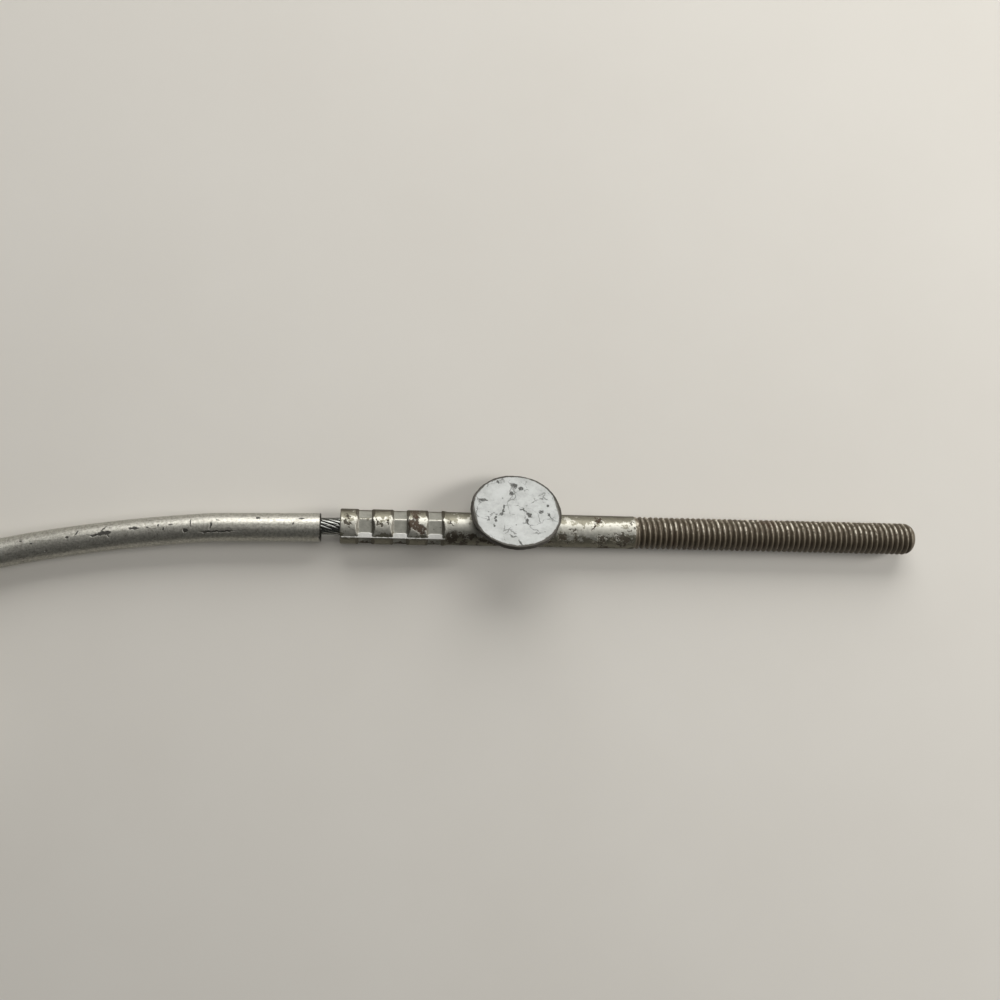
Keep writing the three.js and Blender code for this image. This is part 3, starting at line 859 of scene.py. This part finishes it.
ROD = rod_material()
THREAD = thread_material()
DISC = disc_material()
WIRE = wire_material()
CORE = core_material()
JACKET = jacket_material()
ZINC = plain_material("zinc_plate", colour(140, 140, 136), colour(176, 176, 170), 0.9, 0.28)
CONDUIT = plain_material("conduit_steel", colour(70, 66, 60), colour(104, 99, 92), 0.8, 0.4)
WELD = plain_material("weld_steel", colour(60, 54, 46), colour(110, 102, 90), 0.8, 0.35)
SOLDER = plain_material("solder", colour(150, 150, 148), colour(186, 186, 184), 0.9, 0.25)
TIE = plain_material("tie_plastic", colour(24, 24, 25), colour(40, 40, 41), 0.0, 0.45)


# Casing, which is the free cord
path = casing_path()
points, faces, masks = hollow_tube(path, CASING_RADIUS, JACKET_BORE, CASING_SIDES)
casing = new_piece("casing", points, faces, "casing", JACKET, masks=masks)
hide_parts("jacket_run", "casing_coil", "jacket_tail")

conduit_path = through(run_points(), PATH_SPACING)
points, faces, _ = hollow_tube(conduit_path, CONDUIT_RADIUS, CONDUIT_BORE, CONDUIT_SIDES)
conduit = new_piece("conduit", points, faces, "casing", CONDUIT)
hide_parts("conduit_run")
conduit_tail = frame["nodes"]["conduit_tail"]
conduit_tail.data.materials.clear()
conduit_tail.data.materials.append(CONDUIT)


# Stranded wire: twelve outer strands laid round a dark core, and drawn smooth on the outside
def pressed_round(points, start, axis):
    """Points brought in to the wire's round outline where they lie outside it."""
    along = ((points - start) @ axis)[:, None] * axis + start
    out = points - along
    reach = np.linalg.norm(out, axis=1)[:, None]
    return along + out * np.minimum(1, WIRE_RADIUS / np.maximum(reach, 1e-6))


def strands(name, start, end, body):
    """Outer strands and core of a straight length of wire."""
    start, end = np.array(start, float), np.array(end, float)
    axis = (end - start) / np.linalg.norm(end - start)
    side = np.cross(axis, (0, 0, 1))
    side /= np.linalg.norm(side)
    other = np.cross(axis, side)
    length = np.linalg.norm(end - start)
    steps = np.arange(0, length + STRAND_SPACING / 2, STRAND_SPACING).clip(max=length)
    spread = WIRE_RADIUS - STRAND_RADIUS
    all_points, all_faces = [], []
    for i in range(STRAND_COUNT):
        turn = 2 * math.pi * (i / STRAND_COUNT + (start[0] + steps) / STRAND_LAY)
        line = start + steps[:, None] * axis
        line = line + spread * (np.cos(turn)[:, None] * other - np.sin(turn)[:, None] * side)
        first = sum(len(p) for p in all_points)
        points = tube_points(line, STRAND_RADIUS + STRAND_SWELL, STRAND_SIDES)
        all_points.append(pressed_round(points, start, axis))
        all_faces += grid_faces(len(line), STRAND_SIDES, first)
        all_faces += end_caps(len(line), STRAND_SIDES, first)
    points, faces = np.concatenate(all_points), turned_over(all_faces)
    outer = new_piece(name, points, faces, body, WIRE)
    line = start + np.array([0, length])[:, None] * axis
    points = tube_points(line, spread, CORE_SIDES)
    faces = turned_over(grid_faces(2, CORE_SIDES) + end_caps(2, CORE_SIDES))
    core = new_piece(name + "_core", points, faces, body, CORE)
    return outer, core


def near_wire():
    inside = lead_point(WIRE_IN_CASING, WIRE_OFFSET)
    turn = math.radians(LEAD_ANGLE)
    length = WIRE_IN_CASING + WIRE_SHOWING + WIRE_IN_SOCKET
    outside = (inside[0] + length * math.cos(turn), inside[1] + length * math.sin(turn), 0)
    outer, core = strands("inner_strands", inside, outside, "inner_rod")
    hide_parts("inner_wire")
    return outer, core


def far_wire():
    start = NIPPLE_X - NIPPLE_RADIUS + WIRE_IN_POCKET
    end = FERRULE_MOUTH_X + FAR_WIRE_IN_CASING
    ends = [(x, COIL_TOP_Y, COIL_LOWER_Z) for x in (start, end)]
    outer, core = strands("far_strands", *ends, "inner_nipple")
    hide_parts("far_wire")
    return outer, core


near_strands, near_core = near_wire()
far_strands, far_core = far_wire()


# Rod: one round surface whose radius follows the crimps, the flash, the shank and the thread
def rod_angles():
    """Even angles, with more of them close to the two flash fins."""
    angles = set(np.arange(0, 360, ROD_ANGLE_STEP).tolist())
    for fin in (FIN_ANGLE, FIN_ANGLE + 180):
        near = fin - FIN_ANGLE_REACH
        angles |= set(np.arange(near, fin + FIN_ANGLE_REACH + 0.01, FIN_ANGLE_STEP).tolist())
        angles |= set(np.arange(fin - PAD_ANGLE_REACH, near, PAD_ANGLE_STEP).tolist())
    return np.radians(sorted(angles))


def crimp_rise(xs):
    """How far the walls have risen at each place along the rod: 0 in a crimp, 1 and more on a land."""
    rise = np.full(len(xs), 99.0)
    for start in CRIMP_STARTS:
        end = start + CRIMP_LENGTH
        outside = np.maximum(start + CRIMP_SLOPE - xs, xs - end + CRIMP_SLOPE)
        rise = np.minimum(rise, np.maximum(outside, 0) / CRIMP_SLOPE)
    return rise


def socket_radii(xs, angles):
    """Radii of the socket by place and angle, with the masks of what the dies left on it."""
    rise = crimp_rise(xs)[:, None]
    degrees = np.degrees(angles)[None, :]
    blend = smooth_step((xs - SOCKET_LENGTH) / SHANK_BLEND)[:, None]
    round_radius = SOCKET_RADIUS + (SHANK_RADIUS - SOCKET_RADIUS) * blend
    chamfer = np.minimum(xs / SOCKET_CHAMFER, 1)[:, None]
    round_radius = round_radius - SOCKET_CHAMFER_DROP * (1 - chamfer)
    off_flat = np.radians((degrees - 90 + 30) % 60 - 30)
    wall = (SOCKET_RADIUS - CRIMP_FLAT) * rise
    pressed = soft_min((CRIMP_FLAT + wall) / np.cos(off_flat), CRIMP_CORNER + wall, CRIMP_EDGE_ROUND)
    radii = soft_min(pressed, np.broadcast_to(round_radius, pressed.shape), LAND_EDGE_ROUND)
    fins, pads = np.zeros_like(radii), np.zeros_like(radii)
    for fin in (FIN_ANGLE, FIN_ANGLE + 180):
        pads = np.maximum(pads, pad_radii(xs, degrees, fin))
        fins = np.maximum(fins, fin_radii(xs, degrees, fin))
    flash = np.maximum(pads, fins)
    on_flat = (rise < CRIMP_FLOOR_RISE) & (np.abs(np.degrees(off_flat)) < FLAT_HALF_ANGLE) & (flash < 1)
    on_wall = (rise > CRIMP_FLOOR_RISE) & (pressed < round_radius + 0.01)
    return np.maximum(radii, flash), {"flat": on_flat, "wall": on_wall, "flash_highlight": flash > radii}


def shelf_radii(degrees, fin, distance, width, reach):
    """Level shelf squeezed out of the socket's side, up to the plane where the die halves met."""
    behind = fin - degrees
    plane = distance / np.cos(np.radians(degrees - (fin - SHELF_LEAN)))
    inside = (behind >= 0) & (behind <= np.degrees(width / SOCKET_RADIUS))
    return np.where(inside, np.minimum(plane, reach), 0)


def pad_radii(xs, degrees, fin):
    """Flat pad squeezed up behind the fin in each crimp, with an arched outline."""
    radii = np.zeros((len(xs), degrees.shape[1]))
    for start in CRIMP_STARTS:
        share = (xs - start - CRIMP_LENGTH / 2) / (CRIMP_LENGTH / 2)
        width = (PAD_WIDTH * np.clip(1 - share**4, 0, 1) ** 0.5)[:, None] * (np.abs(share) < 1)[:, None]
        shelf = shelf_radii(degrees, fin, PAD_DISTANCE, np.maximum(width, 1e-3), PAD_REACH)
        radii = np.maximum(radii, np.where(width > 0, shelf, 0))
    return radii


def fin_radii(xs, degrees, fin):
    """Thin line of flash along the whole socket, a little ragged."""
    along = (xs > SOCKET_CHAMFER) & (xs < SOCKET_LENGTH + FIN_OVERRUN)
    shelf = shelf_radii(degrees, fin, FIN_DISTANCE, FIN_WIDTH, FIN_REACH)
    return np.where(along[:, None] & (shelf > 0), shelf + waves(xs, FIN_WAVES)[:, None], 0)


def rod_socket():
    """Socket and shank, with the drilled bore behind the mouth."""
    xs = np.concatenate([
        np.linspace(0, SOCKET_LENGTH + SHANK_BLEND + 0.2, SOCKET_RINGS),
        np.linspace(SOCKET_LENGTH + SHANK_BLEND + 1.2, THREAD_START - 0.04, SHANK_RINGS),
        [THREAD_START],
    ])
    angles = rod_angles()
    sides = len(angles)
    radii, shares = socket_radii(xs, angles)
    outer = round_grid(xs, radii, angles)
    bore_xs = [WIRE_BORE_DEPTH, BORE_FLARE, 0.0]
    bore_radii = np.array([WIRE_BORE, WIRE_BORE, WIRE_BORE + BORE_FLARE])[:, None] * np.ones((1, sides))
    bore = round_grid(bore_xs, bore_radii, angles)
    points = np.concatenate([bore, outer])
    blank = np.zeros(len(bore))
    masks = {name: np.concatenate([blank, share.ravel()]) for name, share in shares.items()}
    rings = len(bore_xs) + len(xs)
    faces = turned_over(grid_faces(rings, sides) + end_caps(rings, sides))
    piece = new_piece("rod_socket", points, faces, "inner_rod", ROD, masks=masks)
    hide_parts("rod_end")
    return piece


def thread_height(phase):
    """Height of a rolled thread's section over one pitch: a broad round crest and a round root."""
    wave = 0.5 + 0.5 * np.cos(2 * math.pi * phase)
    return wave**THREAD_CREST_POWER


def rod_thread():
    """Right-handed thread with a runout by the shank and a domed tip."""
    sides = ROUND_SIDES
    angles = even_turns(sides)
    xs = np.arange(THREAD_START, ROD_LENGTH - 0.001, THREAD_PITCH / RINGS_PER_PITCH)
    xs = np.append(xs, ROD_LENGTH)
    phase = (xs[:, None] - THREAD_PITCH * angles[None, :] / (2 * math.pi)) / THREAD_PITCH
    depth = THREAD_DEPTH * smooth_step((xs - THREAD_START) / THREAD_RUNOUT)[:, None]
    radii = SHANK_RADIUS - depth * (1 - thread_height(phase))
    round_share = np.clip((xs - (ROD_LENGTH - TIP_ROUND)) / TIP_ROUND, 0, 1)
    dome = TIP_FLAT + (SHANK_RADIUS - TIP_FLAT) * np.sqrt(np.clip(1 - round_share**2, 0, 1))
    dome = np.repeat(dome[:, None], sides, axis=1) + TIP_EDGE_ROUND / 4
    points = round_grid(xs, soft_min(radii, dome, TIP_EDGE_ROUND), angles)
    faces = turned_over(grid_faces(len(xs), sides) + end_caps(len(xs), sides))
    return new_piece("rod_thread", points, faces, "inner_rod", THREAD)


rod_socket()
rod_thread()


# Stop disc
def disc_place(points):
    """Points about the disc's own axis, leant over and moved to its place on the rod."""
    lean = math.radians(-DISC_LEAN)
    points = np.asarray(points, float)
    y = points[:, 1] * math.cos(lean) - points[:, 2] * math.sin(lean)
    z = points[:, 1] * math.sin(lean) + points[:, 2] * math.cos(lean)
    return np.stack([points[:, 0] + DISC_X, y, z], axis=1)


def disc_profile():
    """Radius and height from the foot of the neck, round the rim and in over the face."""
    back = DISC_FACE - DISC_RIM
    profile = [(0.01, NECK_FOOT_HEIGHT), (NECK_FOOT, NECK_FOOT_HEIGHT)]
    for i in range(1, NECK_STEPS + 1):
        turn = i / NECK_STEPS * math.pi / 2
        radius = NECK_FOOT + (NECK_TOP - NECK_FOOT) * (1 - math.cos(turn))
        profile.append((radius, NECK_FOOT_HEIGHT + (back - NECK_FOOT_HEIGHT) * math.sin(turn)))
    for height, direction in ((back, -1), (DISC_FACE, 1)):
        for degrees in EDGE_TURNS:
            turn = math.radians(degrees if direction > 0 else degrees - 90)
            radius = DISC_RADIUS - DISC_EDGE + DISC_EDGE * math.cos(turn)
            profile.append((radius, height - direction * DISC_EDGE + DISC_EDGE * math.sin(turn)))
    profile += [(r, DISC_FACE) for r in np.arange(DISC_RADIUS - DISC_EDGE - 0.15, 0.2, -FACE_RING_SPACING)]
    profile.append((0.01, DISC_FACE))
    return profile


def stop_disc():
    """Disc with a ragged edge, a bevel at two ends and a neck cut to the rod's round."""
    turns = even_turns(DISC_SIDES)
    wobble = waves(turns, DISC_WAVES)
    bevel_turn = math.radians(BEVEL_TURN)
    points = []
    for radius, height in disc_profile():
        share = smooth_step(np.array((radius - NECK_TOP) / (DISC_RADIUS - NECK_TOP)))
        ring = radius + (wobble - DISC_INSET) * share
        x, y = ring * np.cos(turns), ring * np.sin(turns)
        across = x * math.cos(bevel_turn) + y * math.sin(bevel_turn)
        limit = DISC_FACE - np.maximum(np.abs(across) - BEVEL_START, 0) * BEVEL_SLOPE
        points.append(np.stack([x, y, np.minimum(height, limit)], axis=1))
    faces = grid_faces(len(points), DISC_SIDES) + end_caps(len(points), DISC_SIDES)
    points = disc_place(np.concatenate(points))
    disc = new_piece("disc", points, faces, "inner_rod", DISC)
    cutter = saddle_cutter()
    saddle = disc.modifiers.new("saddle", "BOOLEAN")
    saddle.object = cutter
    saddle.operation = "DIFFERENCE"
    saddle.solver = "EXACT"
    cut = bpy.data.meshes.new_from_object(disc.evaluated_get(bpy.context.evaluated_depsgraph_get()))
    disc.modifiers.clear()
    disc.data = cut
    bpy.data.objects.remove(cutter)
    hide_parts("stop_disc")
    return disc


def saddle_cutter():
    """Bar along the rod that cuts the neck's saddle."""
    radii = np.full((2, ROUND_SIDES), SHANK_RADIUS + SADDLE_GAP)
    ends = [DISC_X - SADDLE_REACH, DISC_X + SADDLE_REACH]
    points = round_grid(ends, radii, even_turns(ROUND_SIDES))
    faces = turned_over(grid_faces(2, ROUND_SIDES) + end_caps(2, ROUND_SIDES))
    mesh = bpy.data.meshes.new("cutter")
    mesh.from_pydata(to_frame(points).tolist(), [], faces)
    return new_object("cutter", mesh)


def disc_weld():
    """Weld bead along each end of the neck's foot, over the rod."""
    all_points, all_faces = [], []
    for side in (-1, 1):
        line = []
        for share in np.linspace(-1, 1, WELD_POINTS):
            swing = math.radians(WELD_SWING * share)
            y = SHANK_RADIUS * math.sin(swing)
            z = SHANK_RADIUS * math.cos(swing)
            x = side * (math.sqrt(NECK_FOOT**2 - y * y) + 0.12 * math.sin(19 * share + side))
            line.append((x, y, z))
        swell = WELD_RADIUS + 0.07 * np.sin(np.linspace(0, 31, WELD_POINTS))
        swell[[0, -1]] = WELD_END_RADIUS
        first = len(all_points)
        all_faces += grid_faces(WELD_POINTS, WELD_SIDES, first)
        all_faces += end_caps(WELD_POINTS, WELD_SIDES, first)
        all_points += tube_points(np.array(line), swell, WELD_SIDES).tolist()
    return new_piece("disc_weld", disc_place(all_points), all_faces, "inner_rod", WELD)


stop_disc()
disc_weld()


# Far end
def tail_ferrule():
    """Pressed cap with two rolled grooves, and a hole in its end wall for the wire."""
    mouth = FERRULE_MOUTH_X
    open_end = mouth + FERRULE_LENGTH
    radius = FERRULE_RADIUS
    bore = CASING_RADIUS + FERRULE_CASING_GAP
    edge = FERRULE_ROUND
    profile = [(mouth + 0.3, WIRE_BORE), (mouth, WIRE_BORE + 0.2), (mouth, radius - edge)]
    profile += [(mouth + edge - edge * math.sin(t), radius - edge + edge * math.cos(t))
                for t in np.radians([70, 50, 30, 10, 0])]
    for groove in FERRULE_GROOVES:
        for step in np.linspace(-1, 1, GROOVE_STEPS):
            dip = GROOVE_DEPTH * (0.5 + 0.5 * math.cos(math.pi * step))
            profile.append((mouth + groove + GROOVE_HALF_WIDTH * step, radius - dip))
    profile += [(open_end - FERRULE_LIP, radius), (open_end, radius - FERRULE_LIP), (open_end, bore)]
    profile += [(mouth + FERRULE_WALL_END, bore), (mouth + FERRULE_WALL_END, WIRE_BORE)]
    radii = np.repeat([[r] for _, r in profile], FERRULE_SIDES, axis=1)
    points = round_grid([h for h, _ in profile], radii, even_turns(FERRULE_SIDES))
    points = points + np.array((0, COIL_TOP_Y, COIL_LOWER_Z))
    faces = turned_over(grid_faces(len(profile), FERRULE_SIDES, closed=True))
    piece = new_piece("ferrule", points, faces, "casing", ZINC)
    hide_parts("tail_ferrule")
    return piece


def barrel_nipple():
    radius, half, edge = NIPPLE_RADIUS, NIPPLE_HALF, NIPPLE_EDGE
    profile = [(-half, 0), (-half, radius - edge)]
    profile += [(-half + edge - edge * math.cos(t), radius - edge + edge * math.sin(t))
                for t in np.radians(EDGE_TURNS[1:])]
    profile += [(-h, r) for h, r in reversed(profile)]
    piece = lathe("nipple", profile, "inner_nipple", "zinc_plate", ZINC, NIPPLE_PLACE, axis="Y")
    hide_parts("barrel_nipple")
    return piece


def solder_dome():
    """Solder that fills the pocket where the wire comes through the nipple."""
    profile = [(depth - NIPPLE_RADIUS, radius) for depth, radius in SOLDER_PROFILE]
    settings = {"place": NIPPLE_PLACE, "sides": SOLDER_SIDES}
    return lathe("nipple_solder", profile, "inner_nipple", "zinc_plate", SOLDER, **settings)


ferrule = tail_ferrule()
nipple = barrel_nipple()
solder = solder_dome()


# Ties round the coil, drawn close to the casing
def tie_loop(name, angle):
    turn = ((angle - 90) % 360) / 360
    turns_here = [coil_strand(turn + k) for k in range(2 * COIL_LAYER_TURNS)]
    reach = CASING_RADIUS + TIE_GAP + TIE_THICKNESS / 2
    outline = wrap(turns_here, reach, TIE_POINTS)
    half = TIE_WIDTH / 2
    edge = TIE_THICKNESS / 2
    section = [(-half, -edge), (-half, edge), (half, edge), (half, -edge)]
    direction = math.radians(angle)
    along = np.array([-math.sin(direction), math.cos(direction), 0])
    out = np.array([math.cos(direction), math.sin(direction), 0])
    up = np.array([0, 0, 1])
    centre = np.array([COIL_CENTRE_X, COIL_CENTRE_Y, 0])
    points = []
    count = len(outline)
    for i, (radius, height) in enumerate(outline):
        ahead = np.subtract(outline[(i + 1) % count], outline[i - 1])
        normal = np.array([ahead[1], -ahead[0]]) / np.linalg.norm(ahead)
        for across, off in section:
            r, z = radius + normal[0] * off, height + normal[1] * off
            points.append(centre + out * r + up * z + along * across)
    faces = grid_faces(count, len(section), closed=True)
    piece = new_piece(name, points, faces, "casing", TIE, smooth=False)
    bevel = piece.modifiers.new("edges", "BEVEL")
    bevel.width = TIE_EDGE * MM
    bevel.segments = 2
    bevel.limit_method = "ANGLE"
    return piece


def wrap(centres, reach, count):
    """Tight loop round a group of circles of one radius."""
    outline = []
    for i in range(count):
        turn = 2 * math.pi * i / count
        direction = np.array([math.cos(turn), math.sin(turn)])
        far = max(np.dot(c, direction) for c in centres)
        near = [c for c in centres if np.dot(c, direction) > far - 1e-6]
        outline.append(tuple(np.mean(near, axis=0) + reach * direction))
    return outline


for side, angle in TIE_ANGLES.items():
    tie = tie_loop(f"tie_{side}", angle)
    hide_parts(f"coil_tie_{side}")


# Floor and light, in metres and watts
FLOOR_HALF = 1.5
WORLD_STRENGTH = 0.09
WORLD_TINT = (1, 0.985, 0.95, 1)
LIGHT_TINT = (1, 0.99, 0.975)
# Name, place, target, size and power
LIGHTS = [
    ("window", (0.02, 0.5, 0.28), (0.02, 0, 0), (0.56, 0.4), 3.5),
    ("side", (0.55, 0.06, 0.36), (0.05, 0, 0), (0.26, 0.26), 3.1),
    ("ceiling", (0, 0.13, 0.62), (0, 0, 0), (0.26, 0.2), 0.26),
]


def make_floor():
    half = FLOOR_HALF
    mesh = bpy.data.meshes.new("floor")
    corners = [(-half, -half, 0), (half, -half, 0), (half, half, 0), (-half, half, 0)]
    mesh.from_pydata(corners, [], [(0, 1, 2, 3)])
    mesh.materials.append(paper_material())
    new_object("floor", mesh)


def area_light(name, place, target, size, power):
    data = bpy.data.lights.new(name, "AREA")
    data.shape = "RECTANGLE"
    data.size, data.size_y = size
    data.energy = power
    data.color = LIGHT_TINT
    lamp = new_object(name, data)
    lamp.location = place
    lamp.rotation_mode = "QUATERNION"
    lamp.rotation_quaternion = (Vector(target) - Vector(place)).to_track_quat("-Z", "Y")


def make_lights():
    world = bpy.data.worlds.new("world")
    bpy.context.scene.world = world
    world.use_nodes = True
    background = world.node_tree.nodes["Background"]
    background.inputs["Color"].default_value = WORLD_TINT
    background.inputs["Strength"].default_value = WORLD_STRENGTH
    for light in LIGHTS:
        area_light(*light)


make_floor()
make_lights()
bpy.context.scene.view_settings.view_transform = "Standard"
